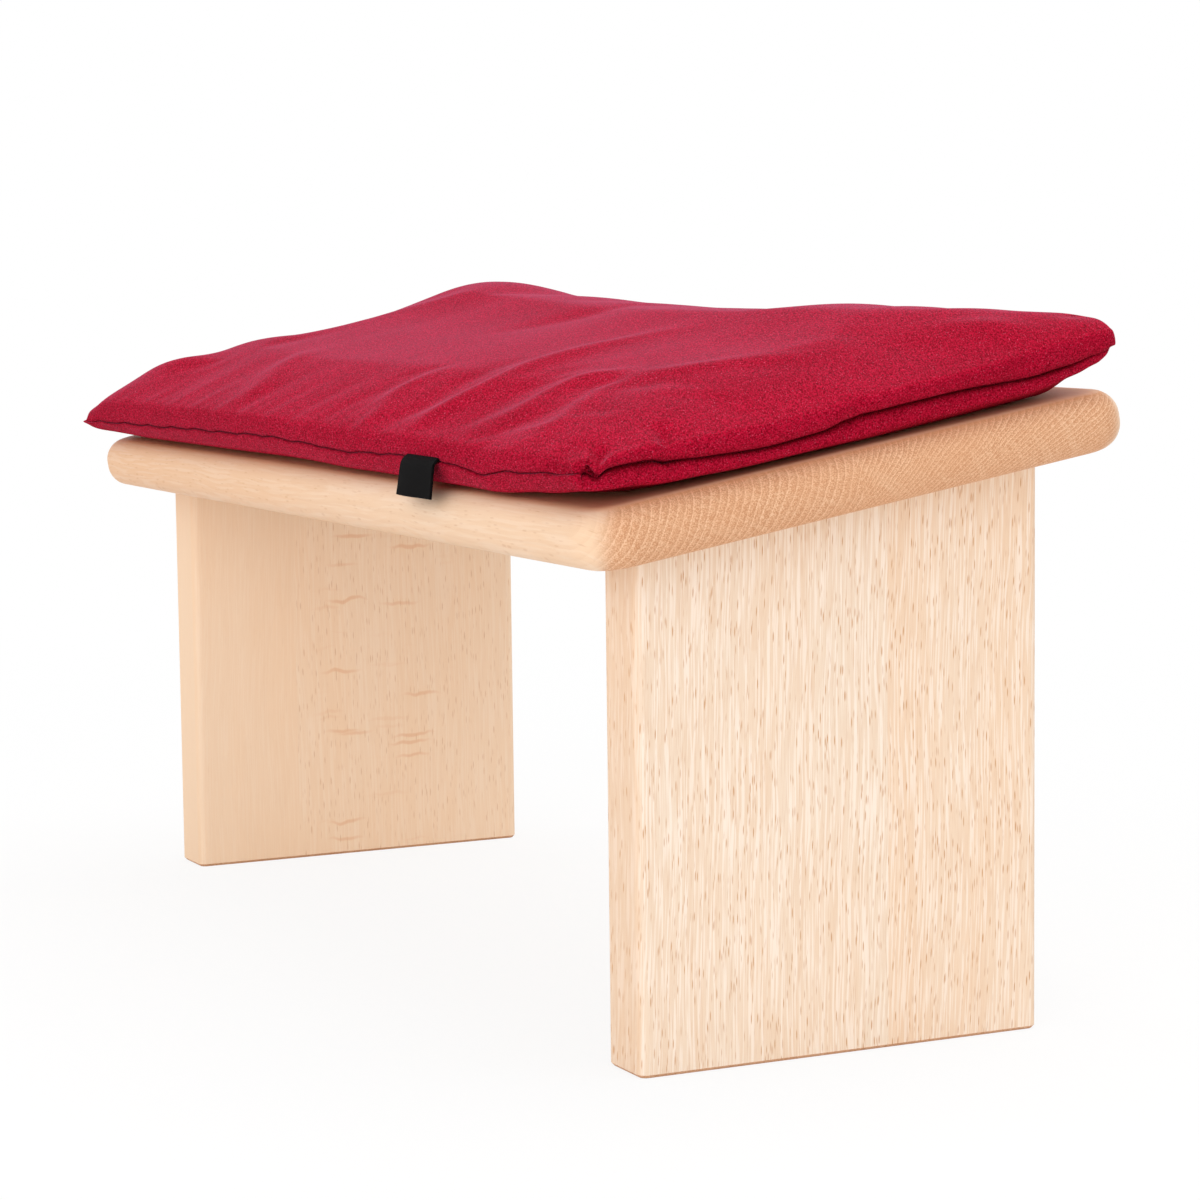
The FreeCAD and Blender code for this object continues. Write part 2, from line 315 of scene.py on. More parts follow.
def beechFinish(node, stave):
    finish = newFinish(node.replace("_", " "))
    grain = Vector(stave["grain"]).normalized()
    seed = stave["seed"]
    isSeat = stave["warm"] > 0
    along, side, deep, radius, turn = logPlace(finish, stave, grain)
    log, slab = (turn, radius, along), (side, deep, along)

    flecks = fleckShare(finish, log, seed) * stave["flecks"]
    # growth rings, paler just after each line than before it
    stray = finish.noise(finish.stretched(slab, beech["ringStraySize"]))
    ring = finish.math("FRACT", (radius + stray * beech["ringStray"]) / stave["ringWidth"] + seed)
    ringLine = finish.between(ring, 0.35, 0.97) * finish.between(ring, 0.97, 1.0, 1.0, 0.0)
    ringPale = finish.between(ring, 0.0, 0.1) * finish.between(ring, 0.1, 0.26, 1.0, 0.0)
    # long thin streaks of darker and paler wood between the flecks
    dark = finish.noise(finish.stretched(log, beech["darkSize"]))
    pale = finish.noise(finish.stretched(log, beech["paleSize"], (31.0, 0, 0)), detail=1.0)
    fibre = finish.noise(finish.stretched(log, beech["fibreSize"]))
    cloud = finish.noise(finish.stretched(log, beech["cloudSize"]), detail=1.0)
    pore = finish.noise(finish.stretched(slab, beech["poreSize"]), detail=1.0)
    rayLine = finish.noise(finish.stretched(log, beech["rayLineSize"]))

    layers = [
        (finish.between(cloud, 0.25, 0.75) * 0.3 + (stave["peach"] - 0.15), beech["peach"]),
        (ringLine * (0.45 * stave["rings"]), beech["ringLine"]),
        (finish.between(fibre, 0.42, 0.75) * 0.16, beech["ringLine"]),
    ]
    if isSeat:  # the oil has yellowed this board more towards its left end
        warmth = finish.between(finish.dot(finish.place(), toRight), 225.0, -225.0)
        layers.append((warmth * stave["warm"], beech["warm"]))
    layers += [
        (finish.between(dark, 0.54, 0.68) * (0.2 * stave["streaks"]), beech["fleck"]),
        (finish.between(pale, 0.48, 0.62) * (0.6 * stave["streaks"]), beech["paleStreak"]),
        (finish.math("MINIMUM", flecks * 0.85, 1.0), beech["fleck"]),
    ]
    if stave["rays"] > 0:
        layers.append((barShare(finish, along, seed) * (0.6 * stave["rays"]), beech["bar"]))
    if not isSeat:  # painted shade: the narrow faces of the legs, turned to the front and rear, are painted a little darker and browner
        narrow = finish.between(finish.math("ABSOLUTE", finish.facing(toRear)), 0.6, 0.95)
        layers.append((narrow * (0.4 + stave["bleach"]), beech["narrowFace"]))
    # painted light: the left leg's staves are lifted towards a pale tone
    layers.append((stave["bleach"], beech["bleach"]))

    # end grain drinks more oil, so it is darker and shows the rings and rays as fine lines
    endness = endShare(finish, grain, isSeat)
    layers.append((endness, finish.layered(beech["endGrain"], [
        (finish.between(pore, 0.5, 0.62) * 0.7, beech["endLine"]),
        (finish.between(pore, 0.5, 0.38) * 0.6, beech["endPale"]),
        (finish.between(rayLine, 0.5, 0.72) * 0.25, beech["endPale"]),
        (ringLine * (0.42 * stave["endRings"]), beech["endLine"]),
        (ringPale * (0.62 * stave["endRings"]), beech["endPale"]),
        (finish.between(cloud, 0.35, 0.8) * 0.35, beech["endShade"]),
    ])))
    if isSeat:  # painted shade: the upward faces are tinted orange for the cushion's shadow and its red bounce light
        layers.append((finish.between(finish.facing(upward), 0.8, 0.98) * 0.5, beech["topOil"]))

    height = fibre * 0.5 - flecks * 0.6 + pore * endness * 0.8
    return finish.show(finish.coat({
        "Base Color": finish.layered(beech["cream"], layers),
        "Roughness": (fibre - 0.5) * 0.12 + endness * 0.1 + beech["roughness"],
        "Normal": finish.bump(height, beech["grainDepth"], 0.6),
        "Specular IOR Level": beech["boardOil"],
    }))


def dress(node, material):
    node.data.materials.clear()
    node.data.materials.append(material)


for name, stave in staves.items():
    dress(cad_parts[name], beechFinish(name, stave))
print("beech finished on", len(staves), "staves")


# Hinges: zinc-plated leaves on drawn pins

steels = {
    "zinc plated leaf": {"tone": (188, 186, 180), "roughness": 0.34, "brush": (0.4, 0.25, 0.4)},
    "drawn pin": {"tone": (170, 168, 164), "roughness": 0.28, "brush": (1.5, 0.2, 1.5)},
    "bright zinc screw": {"tone": (200, 198, 190), "roughness": 0.3, "brush": (1.0, 1.0, 1.0)},
}
zinc = {
    "crystal": 0.35,  # crystals to a millimetre
    "crystalTone": screenColour(214, 214, 212),
    "stain": 0.09,
    "stainDepth": 0.8,
    "scratchDepth": 0.02 * mm,
}


def steelFinish(name):
    steel = steels[name]
    finish = newFinish(name)
    place = finish.place()
    crystal = finish.draw(finish.vectorMath("SCALE", {0: place, "Scale": zinc["crystal"]}), 0)
    stain = finish.noise(place, scale=zinc["stain"], detail=3.0)
    scratch = finish.noise(finish.vectorMath("MULTIPLY", {0: place, 1: steel["brush"]}), detail=3.0)
    stained = screenColour(*[part * zinc["stainDepth"] for part in steel["tone"]])
    return finish.show(finish.coat({
        "Base Color": finish.layered(screenColour(*steel["tone"]), [
            (finish.between(stain, 0.4, 0.75) * 0.35, stained),
            (crystal * 0.14, zinc["crystalTone"])]),
        "Metallic": 1.0,
        "Roughness": (stain - 0.5) * 0.2 + (scratch - 0.5) * 0.18 + steel["roughness"],
        "Normal": finish.bump(scratch, zinc["scratchDepth"], 0.4),
    }))


leafSteel, pinSteel = steelFinish("zinc plated leaf"), steelFinish("drawn pin")
for name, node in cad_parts.items():
    if "hinge" in name:
        dress(node, pinSteel if name.endswith("pin") else leafSteel)
print("hinges finished")


# Countersunk cross-head screws, set by Geometry Nodes at every hole in the leaves

screws = {
    "headRadius": 2.7 * mm,
    "shankRadius": 1.5 * mm,
    "headDepth": 1.2 * mm,
    "length": 13.0 * mm,
    "bodyShare": 0.62,
    "pointShare": 0.28,
    "tipRadius": 0.2 * mm,
    "slotWidth": 0.7 * mm,
    "slotLength": 3.3 * mm,
    "slotDepth": 0.7 * mm,
}
screwSides = {"head": 28, "shank": 16}
screwTurn = {"most": 1.5, "seed": 7}  # each head stopped at an angle of its own
screwPlaces = {
    "hinges": (-24.0, 44.0),  # along the seat, front and rear
    "inLeaf": (-8.5, 8.5),  # from the middle of a leaf
    "leg": {"out": 180.8, "height": -29.7},
    "seat": {"out": 170.3, "height": -19.2},
}


def screwTree(material):
    tree = bpy.data.node_groups.new("screwsInLeaves", "GeometryNodeTree")
    tree.interface.new_socket(name="Geometry", in_out="INPUT", socket_type="NodeSocketGeometry")
    for name in screws:
        tree.interface.new_socket(name=name, in_out="INPUT", socket_type="NodeSocketFloat")
    tree.interface.new_socket(name="Geometry", in_out="OUTPUT", socket_type="NodeSocketGeometry")
    given = tree.nodes.new("NodeGroupInput").outputs
    result = tree.nodes.new("NodeGroupOutput")

    def add(kind, settings, sockets, output=0):
        made = tree.nodes.new(kind)
        for key, value in settings.items():
            setattr(made, key, value)
        for key, value in sockets.items():
            for source in value if isinstance(value, list) else [value]:
                if isinstance(source, bpy.types.NodeSocket):
                    tree.links.new(source, made.inputs[key])
                else:
                    made.inputs[key].default_value = source
        return made.outputs[output]

    def number(operation, *values):
        return add("ShaderNodeMath", {"operation": operation}, dict(enumerate(values)))

    def vector(x, y, z):
        return add("ShaderNodeCombineXYZ", {}, {0: x, 1: y, 2: z})

    def raised(shape, height):
        return add("GeometryNodeTransform", {},
                   {"Geometry": shape, "Translation": vector(0.0, 0.0, height)})

    head = add("GeometryNodeMeshCone", {}, {
        "Vertices": screwSides["head"], "Radius Top": given["shankRadius"],
        "Radius Bottom": given["headRadius"], "Depth": given["headDepth"]})
    twice = number("MULTIPLY", given["slotDepth"], 2.0)
    slots = [add("GeometryNodeMeshCube", {}, {"Size": size}) for size in (
        vector(given["slotLength"], given["slotWidth"], twice),
        vector(given["slotWidth"], given["slotLength"], twice))]
    cut = add("GeometryNodeMeshBoolean", {"operation": "DIFFERENCE", "solver": "EXACT"},
              {"Mesh 1": head, "Mesh 2": slots})
    body = number("MULTIPLY", given["length"], given["bodyShare"])
    shank = raised(add("GeometryNodeMeshCylinder", {}, {
        "Vertices": screwSides["shank"], "Radius": given["shankRadius"], "Depth": body,
    }), number("MULTIPLY_ADD", body, 0.5, given["headDepth"]))
    tip = raised(add("GeometryNodeMeshCone", {}, {
        "Vertices": screwSides["shank"], "Radius Top": given["tipRadius"],
        "Radius Bottom": given["shankRadius"],
        "Depth": number("MULTIPLY", given["length"], given["pointShare"]),
    }), number("ADD", body, given["headDepth"]))
    whole = add("GeometryNodeJoinGeometry", {}, {"Geometry": [cut, shank, tip]})

    drive = add("GeometryNodeInputNamedAttribute", {"data_type": "FLOAT_VECTOR"}, {"Name": "drive"})
    turned = add("FunctionNodeAlignRotationToVector", {"axis": "Z"}, {"Vector": drive})
    spin = add("FunctionNodeRandomValue", {"data_type": "FLOAT"},
               {"Min": 0.0, "Max": screwTurn["most"], "Seed": screwTurn["seed"]}, 1)
    spin = add("FunctionNodeAxisAngleToRotation", {}, {"Axis": (0, 0, 1), "Angle": spin})
    turned = add("FunctionNodeRotateRotation", {"rotation_space": "LOCAL"},
                 {"Rotation": turned, "Rotate By": spin})
    placed = add("GeometryNodeInstanceOnPoints", {},
                 {"Points": given["Geometry"], "Instance": whole, "Rotation": turned})
    real = add("GeometryNodeRealizeInstances", {}, {"Geometry": placed})
    done = add("GeometryNodeSetMaterial", {}, {"Geometry": real, "Material": material})
    tree.links.new(done, result.inputs["Geometry"])
    return tree


def screwHoles(side, part):
    # the middle of each screw's head, and the way that it is driven
    row = screwPlaces[part]
    drive = toRight * side if part == "leg" else offSeat
    return [(onSeat(side * row["out"], hinge + step, row["height"]), drive)
            for hinge in screwPlaces["hinges"] for step in screwPlaces["inLeaf"]]


def setScrews(name, holes, body, nodes, tree):
    shape = addMesh(name + "Holes", [place for place, drive in holes], [])
    drives = shape.attributes.new("drive", "FLOAT_VECTOR", "POINT")
    for number, (place, drive) in enumerate(holes):
        drives.data[number].vector = drive
    pattern = addObject(name + "Holes", shape)
    driven = pattern.modifiers.new("screws", "NODES")
    driven.node_group = tree
    for item in tree.interface.items_tree:
        if item.in_out == "INPUT" and item.name in screws:
            driven[item.identifier] = screws[item.name]
    made = addObject(name, bpy.data.meshes.new_from_object(solved(pattern)))
    bpy.data.objects.remove(pattern)
    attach(made, body)
    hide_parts(*nodes)


driver = screwTree(steelFinish("bright zinc screw"))
setScrews("seatScrews", screwHoles(-1, "seat") + screwHoles(1, "seat"), "seat",
          ("left_seat_screws", "right_seat_screws"), driver)
setScrews("leftLegScrews", screwHoles(-1, "leg"), "left_leg", ("left_leg_screws",), driver)
setScrews("rightLegScrews", screwHoles(1, "leg"), "right_leg", ("right_leg_screws",), driver)
print("screws set")


# Cushion, made in the seat's flat frame in millimetres and then carried to the slope

cushion = {
    "halfLength": 225.0,
    "halfWidth": 91.0,
    "seamDrawIn": {"left": 2.0, "right": 2.5, "front": 2.0, "rear": 3.0},
    "groove": {"left": 2.0, "right": 5.5, "front": 1.9, "rear": 2.6},  # the seam between its lips
    "grooveReach": {"left": 1.0, "right": 1.1, "front": 1.0, "rear": 1.0},
    "lip": 2.4,
    "shoulder": {"left": 38.0, "right": 62.0, "front": 45.0, "rear": 36.0},
    "steepness": {"left": 0.30, "right": 0.42, "front": 0.33, "rear": 0.30},
    "overhang": {"left": 4.0, "right": 7.0, "front": 3.6, "rear": 3.5},
    "rearCrown": 1.25,  # how late the crown rises towards the rear
    "facetFoot": 6.0,  # foot of the broad slope at the right end
    "facetStart": 0.52,  # share of the full height that it starts from
    "facetBlend": 0.16,  # how softly it breaks at the ridge
    "fullStart": (150, 30),  # the rear right corner is full
    "fullSpan": (60, 50),
    "fullness": 0.42,
    "tipThinness": 0.3,  # the front left one runs out to a thin tip
    "tipArea": 260,
    "gapeReach": 3.0,
    "gapeDepth": 3.0,
    "closed": 0.2,
    "underReach": {"left": 7.0, "right": 6.0, "front": 6.0, "rear": 7.0},
    "underSteepness": 0.3,
    "underBulge": {"left": 2.6, "right": 2.2, "front": 3.4, "rear": 3.0},
    "flatStart": (190, 50),  # under the full corner the lower panel bulges less
    "flatSpan": (35, 41),
    "flatness": 0.8,
    "restGap": 0.6,
    "restReach": 13.0,  # where the underside comes to lie on the board
    "clearCorner": {"right front": 34, "right rear": 16},  # drawn up clear of the board
    "clearReach": 40,
    "roundCorner": {"left front": -2.2, "left rear": 4.0, "right front": -1.0, "right rear": 3.5},
    "cornerReach": 9.0,
    "pit": {"front": 7.0, "right": 5.5},  # where the seam turns the right front corner
    "pitReach": 4.0,
    "tipSeam": 50.0,  # how far from the left front tip the seam is at its full depth
    "tipGroove": 0.3,
    "rearSeam": 22.0,
    "pucker": [(0.3, 4.3, 0.0), (0.2, 2.1, 1.0)],  # height, length and start of each wave
    "endReach": 60.0,  # finer mesh near the ends
    "endSteps": 18,
    "middleSteps": 74,
    "sideSteps": 72,
}

# height of the crown over the board, by place along the length and from front to rear
crownHeights = {
    -225: (26.4, 27.4, 37.0),
    -180: (24.8, 26.6, 36.4),
    -110: (24.6, 25.4, 31.9),
    -50: (24.4, 24.8, 30.0),
    0: (24.0, 24.4, 28.9),
    60: (23.2, 23.6, 29.1),
    100: (22.6, 22.8, 30.2),
    140: (21.8, 22.2, 29.4),
    165: (21.5, 22.0, 28.4),
    190: (21.5, 22.0, 26.4),
    225: (21.5, 22.0, 24.0),
}
# height of the seam over the board, by place along each side
seamHeights = {
    "front": {-225: 8.4, -163: 8.8, -89: 9.8, -33: 10.6, 17: 9.8, 35: 8.8, 90: 10.0, 126: 9.8,
              152: 7.6, 178: 9.8, 225: 11.5},
    "rear": {150: 9.5, 225: 12.5},
    "left": {-91: 9.0, 91: 9.5},
    "right": {-91: 11.5, -85: 10.8, -79: 10.8, -70: 10.6, -65: 10.2, -50: 7.6, -30: 6.4,
              -12: 7.0, 0: 9.3, 34: 9.6, 60: 8.6, 72: 9.4, 83: 11.2, 91: 12.5},
}
# height of the lower panel's rounded edge, which hangs a little clear of the board
edgeHeights = {
    "front": {-225: 4.5, -160: 3.0, -90: 3.0, -19: 3.4, 47: 2.2, 130: 1.6, 156: 1.4, 188: 3.4,
              225: 6.0},
    "rear": {165: 3.5, 225: 9.6},
    "left": {-91: 5.0, 91: 3.5},
    "right": {-91: 6.0, -78: 4.6, -60: 3.0, -37: 2.3, 0: 2.8, 27: 3.6, 60: 4.2, 76: 6.4,
              83: 7.6, 91: 9.6},
}
# how far the slit at the right end gapes, along the seat
rightGape = {-91: 2.2, -88: 1.6, -86: 0.4, -84: 0.3, -79: 0.6, -72: 0.6, -66: 0.5, -61: 0.3,
             -12: 0.4, -5: 0.8, 6: 0.4, 91: 0.3}
# the ridge where the flat top breaks into the slope of the right end
rightRidge = {-91: 188, -76: 182, -57: 160, -39: 150, -15: 165, 7: 178, 30: 180, 50: 190,
              66: 206, 91: 214}

# folds in the top panel: height, half width and line across the seat's plane
folds = [
    (1.4, 4.5, [(206, -86), (184, -72), (160, -57), (146, -40)]),
    (2.4, 4.5, [(190, -89), (178, -75), (164, -60), (152, -47), (150, -36), (154, -22)]),
    (1.4, 5.0, [(146, -40), (164, -14), (180, 10), (182, 34), (194, 56)]),
    (2.2, 6.0, [(110, -90), (95, -79), (90, -62), (83, -43), (75, -26), (67, -7), (66, 15),
                (82, 34)]),
    (1.7, 6.0, [(66, -90), (53, -79), (40, -66), (35, -54), (40, -38)]),
    (1.3, 8.0, [(-60, -84), (-90, -60), (-112, -38)]),
    (1.6, 5.0, [(146, -86), (138, -67), (130, -53), (127, -41), (134, -32), (156, -26)]),
    (-1.8, 5.0, [(196, -88), (170, -64), (150, -48), (132, -24)]),
    (-1.5, 6.5, [(128, -86), (116, -64), (108, -44), (104, -20)]),
    (-0.9, 14.0, [(-150, -80), (-160, -40), (-150, 10)]),
    (-1.5, 7.0, [(84, -86), (70, -66), (62, -46), (52, -20)]),
    (-1.4, 18.0, [(-30, 80), (-24, 40), (-40, -10)]),
    (2.8, 9.0, [(-224, -68), (-200, -62), (-165, -52)]),
    (1.6, 9.0, [(-222, -34), (-190, -30), (-150, -22)]),
    (-2.0, 12.0, [(206, 90), (208, 76), (206, 60)]),
]
foldShape = {
    "risesOver": 0.2,  # shares of the line over which a fold comes and goes
    "fadesOver": 0.45,
    "crestRadius": 1.6,
    "flankWidth": 0.85,
    "flankPower": 1.4,
}


def smooth(share):
    share = min(max(share, 0.0), 1.0)
    return share * share * (3 - 2 * share)


def ramp(x, y, start, span):
    # rises from 0 to 1 both along and across the seat
    return smooth((x - start[0]) / span[0]) * smooth((y - start[1]) / span[1])


def along(table, x):
    # smoothly joins the values of a table given by place
    places = sorted(table)
    if x <= places[0]:
        return table[places[0]]
    for low, high in zip(places, places[1:]):
        if x <= high:
            part = smooth((x - low) / (high - low))
            return table[low] + (table[high] - table[low]) * part
    return table[places[-1]]


def fromSides(x, y, tables, pucker=0.0):
    # a height carried inwards from the four sides, weighing each by how near it is
    half, wide = cushion["halfLength"], cushion["halfWidth"]
    sides = [(y + wide, along(tables["front"], x) + pucker), (wide - y, along(tables["rear"], x)),
             (x + half, along(tables["left"], y)), (half - x, along(tables["right"], y))]
    total = sum(1 / (max(inset, 0.0) + 0.5) ** 2 for inset, height in sides)
    return sum(height / (max(inset, 0.0) + 0.5) ** 2 for inset, height in sides) / total


def crownAt(x, y):
    front, middle, rear = [along({place: row[column] for place, row in crownHeights.items()}, x)
                           for column in range(3)]
    across = y / cushion["halfWidth"] + 1
    if across < 1:
        return front + (middle - front) * smooth(across)
    return middle + (rear - middle) * smooth(across - 1) ** cushion["rearCrown"]


def riseOver(inset, reach, power):
    share = min(max(inset / reach, 0.0), 1.0)
    return (1 - (1 - share) ** 2) ** power


def rightSlope(x, y):
    # share of the full height on the broad slope of the right end
    foot, start, blend = cushion["facetFoot"], cushion["facetStart"], cushion["facetBlend"]
    inset, span = cushion["halfLength"] - x, cushion["halfLength"] - along(rightRidge, y)
    if inset < foot:
        return start * (1 - (1 - max(inset, 0.0) / foot) ** 2) ** 0.5
    up = (inset - foot) / (span - foot)
    if up > 1 - blend:
        up = 1 - (max(1 + blend - up, 0.0) ** 2) / (4 * blend)
    return start + (1 - start) * up


def foldAt(x, y):
    moved = 0.0
    for height, width, line in folds:
        best, place = math.inf, 0.0
        for step, (start, end) in enumerate(zip(line, line[1:])):
            run = (end[0] - start[0], end[1] - start[1])
            share = (x - start[0]) * run[0] + (y - start[1]) * run[1]
            share = min(max(share / (run[0] ** 2 + run[1] ** 2), 0.0), 1.0)
            away = math.hypot(x - start[0] - run[0] * share, y - start[1] - run[1] * share)
            if away < best:
                best, place = away, (step + share) / (len(line) - 1)
        taper = (smooth(place / foldShape["risesOver"])
                 * smooth((1 - place) / foldShape["fadesOver"]))
        # a rounded crest that runs out in soft flanks
        crest = math.hypot(best, foldShape["crestRadius"]) - foldShape["crestRadius"]
        flank = (crest / (width * foldShape["flankWidth"])) ** foldShape["flankPower"]
        moved += height * taper * math.exp(-flank)
    return moved


class Spot:
    # a point of the cushion, the end, side and corner nearest to it, and how far in it lies
    def __init__(self, x, y):
        self.x, self.y = x, y
        self.end, self.side = ("right" if x > 0 else "left"), ("rear" if y > 0 else "front")
        self.corner = self.end + " " + self.side
        self.endInset = cushion["halfLength"] - abs(x)
        self.sideInset = cushion["halfWidth"] - abs(y)

    def nearCorner(self, reach):
        return math.exp(-(self.endInset + self.sideInset) / reach)


def standOut(bulge, spot, endRise, sideRise):
    # how far the cloth stands out past the seam, at the end and at the side
    return (bulge[spot.end] * 4 * endRise * (1 - endRise) * sideRise,
            bulge[spot.side] * 4 * sideRise * (1 - sideRise) * endRise)


def topPanel(spot, seam, lip):
    reach, power = cushion["shoulder"], cushion["steepness"]
    sideRise = riseOver(spot.sideInset, reach[spot.side], power[spot.side])
    endRise = (rightSlope(spot.x, spot.y) if spot.end == "right"
               else riseOver(spot.endInset, reach[spot.end], power[spot.end]))
    stuffed = ramp(spot.x, spot.y, cushion["fullStart"], cushion["fullSpan"])
    rise = (endRise * sideRise) ** (1 - cushion["fullness"] * stuffed)
    if spot.corner == "left front":
        near = math.exp(-(spot.endInset ** 2 + spot.sideInset ** 2) / cushion["tipArea"])
        rise *= 1 - cushion["tipThinness"] * near
    height = (seam + (crownAt(spot.x, spot.y) - seam) * rise * lip
              + foldAt(spot.x, spot.y) * smooth(rise * 1.3 - 0.3))
    if spot.end == "right" and spot.endInset > 0:
        gape = math.exp(-(spot.endInset / cushion["gapeReach"]) ** 2)
        height += along(rightGape, spot.y) * gape
    return height, *standOut(cushion["overhang"], spot, endRise, sideRise)


def lowerPanel(spot, seam, lip):
    reach, power = cushion["underReach"], cushion["underSteepness"]
    endRise = riseOver(spot.endInset, reach[spot.end], power)
    sideRise = riseOver(spot.sideInset, reach[spot.side], power)
    edge = fromSides(spot.x, spot.y, edgeHeights)
    clear = cushion["clearCorner"].get(spot.corner, 0)
    rest = cushion["restReach"] + clear * spot.nearCorner(cushion["clearReach"])
    resting = smooth(spot.endInset / rest) * smooth(spot.sideInset / rest)
    height = (seam - (seam - edge) * (endRise * sideRise * lip)
              - (edge - cushion["restGap"]) * resting)
    bulge = dict(cushion["underBulge"])
    flat = ramp(spot.x, spot.y, cushion["flatStart"], cushion["flatSpan"])
    for name in ("right", "rear"):
        bulge[name] *= 1 - cushion["flatness"] * flat
    return height, *standOut(bulge, spot, endRise, sideRise)


def grooveDepth(spot):
    near = {spot.side: spot.endInset, spot.end: spot.sideInset}
    far = max(near.values())
    depth = dict(cushion["groove"])
    if spot.corner == "right front":
        for name, pit in cushion["pit"].items():
            depth[name] += pit * math.exp(-near[name] / cushion["pitReach"])
    else:
        # towards the left front tip the seam fades, and at the rear the panels meet in a point
        atTip = spot.corner == "left front"
        least, reach = ((cushion["tipGroove"], cushion["tipSeam"]) if atTip
                        else (0.0, cushion["rearSeam"]))
        share = least + (1 - least) * smooth(far / reach)
        depth = {name: value * share for name, value in depth.items()}
    if spot.end == "right":
        depth["right"] += cushion["gapeDepth"] * (along(rightGape, spot.y) - cushion["closed"])
    return depth


def cushionPoint(spot, top):
    half, wide, x, y = cushion["halfLength"], cushion["halfWidth"], spot.x, spot.y
    pucker = sum(height * math.sin(x / length + start)  # drawn up by the stitches
                 for height, length, start in cushion["pucker"])
    seam = fromSides(x, y, seamHeights, pucker)
    lip = smooth(spot.endInset / cushion["lip"]) * smooth(spot.sideInset / cushion["lip"])
    height, endOut, sideOut = (topPanel if top else lowerPanel)(spot, seam, lip)
    corner = cushion["roundCorner"][spot.corner] * spot.nearCorner(cushion["cornerReach"])
    depth, reach, drawIn = grooveDepth(spot), cushion["grooveReach"], cushion["seamDrawIn"]
    sideIn = (drawIn[spot.side] * (1 - (x / half) ** 4) * abs(y) / wide + corner
              + depth[spot.side] * math.exp(-spot.sideInset / reach[spot.side]))
    endIn = (drawIn[spot.end] * (1 - (y / wide) ** 4) * abs(x) / half + corner
             + depth[spot.end] * math.exp(-spot.endInset / reach[spot.end]))
    return Vector((x + math.copysign(1, x) * (endOut - endIn),
                   y + math.copysign(1, y) * (sideOut - sideIn), height))


def gridPlaces():
    # where the lines of the mesh lie, closer together towards the seam
    half, wide, reach = cushion["halfLength"], cushion["halfWidth"], cushion["endReach"]
    ends, middles, sides = cushion["endSteps"], cushion["middleSteps"], cushion["sideSteps"]
    end = [reach * (1 - math.cos(math.pi / 2 * step / ends)) for step in range(ends)]
    middle = [reach + 2 * (half - reach) * step / middles for step in range(middles + 1)]
    insets = end + middle + [2 * half - place for place in reversed(end)]
    across = [-wide * math.cos(math.pi * step / sides) for step in range(sides + 1)]
    return [place - half for place in insets], across


# how far each point takes part in the swelling, and in the seam's painted shade
seamHold = {
    "heldReach": 7.0,
    "loosest": 0.999,
    "pressedReach": 0.8,
    "tipPressed": 0.25,  # less so towards the left end
    "tipReach": 55,
}


def cushionMesh():
    xs, ys = gridPlaces()
    columns, rows = len(xs), len(ys)
    points, faces, held, pressed = [], [], [], []
    index = {}
    for top in (True, False):
        for i, x in enumerate(xs):
            for j, y in enumerate(ys):
                rim = i in (0, columns - 1) or j in (0, rows - 1)
                if rim and not top:
                    index[(top, i, j)] = index[(True, i, j)]
                    continue
                index[(top, i, j)] = len(points)
                spot = Spot(x, y)
                points.append(cushionPoint(spot, top))
                fromSeam = min(spot.endInset, spot.sideInset)
                loose = seamHold["loosest"] * smooth(fromSeam / seamHold["heldReach"])
                held.append(1 - loose if top else 1.0)
                # the seam's painted shade, weaker towards the left end
                least = seamHold["tipPressed"]
                fading = least + (1 - least) * smooth(
                    (x + cushion["halfLength"]) / seamHold["tipReach"])
                pressed.append(fading * (1 - smooth(fromSeam / seamHold["pressedReach"])))
    for top in (True, False):
        for i in range(columns - 1):
            for j in range(rows - 1):
                ring = [index[(top, i, j)], index[(top, i + 1, j)],
                        index[(top, i + 1, j + 1)], index[(top, i, j + 1)]]
                faces.append(ring if top else ring[::-1])
    return points, faces, held, pressed


puff = {
    "settings": {
        "quality": 4, "mass": 0.2, "tension_stiffness": 12, "compression_stiffness": 12,
        "shear_stiffness": 6, "bending_stiffness": 0.4, "use_pressure": True,
        "uniform_pressure_force": 1.2, "shrink_min": -0.001, "shrink_max": -0.036,
    },
    "growthStart": (-60, 50),  # the cloth is loosest at the right front
    "growthSpan": (200, -110),
    "frames": 16,
    "mostSwell": 4.0,
    "slack": 0.01,
}


def addGroup(piece, name, weights):
    group = piece.vertex_groups.new(name=name)
    for number, weight in enumerate(weights):
        group.add([number], weight, "REPLACE")
    return name


def puffUp(points, faces, held):
    # the filling presses the top panel out while the seam and the underside stay put
    piece = addObject("puffing", addMesh("puffing", [point * mm for point in points], faces))
    cloth = piece.modifiers.new("puff", "CLOTH")
    for name, value in puff["settings"].items():
        setattr(cloth.settings, name, value)
    cloth.settings.vertex_group_mass = addGroup(piece, "held", held)
    cloth.settings.vertex_group_shrink = addGroup(piece, "loose", [
        ramp(point.x, point.y, puff["growthStart"], puff["growthSpan"]) for point in points])
    cloth.settings.effector_weights.gravity = 0
    cloth.collision_settings.use_collision = False
    cloth.point_cache.frame_start, cloth.point_cache.frame_end = 1, puff["frames"]
    for moment in range(puff["frames"]):
        bpy.context.scene.frame_set(moment + 1)
    result, moves = [], []
    for point, share, vertex in zip(points, held, solved(piece).data.vertices):
        move = vertex.co / mm - point
        most = puff["mostSwell"] * (1 - share) + puff["slack"]
        if move.length > most:
            move *= most / move.length
        result.append(point + move)
        moves.append(move.length)
    print(f"cloth moved {sum(moves) / len(moves):.2f} mm on average, {max(moves):.2f} at most")
    bpy.data.objects.remove(piece)
    bpy.context.scene.frame_set(1)
    return result


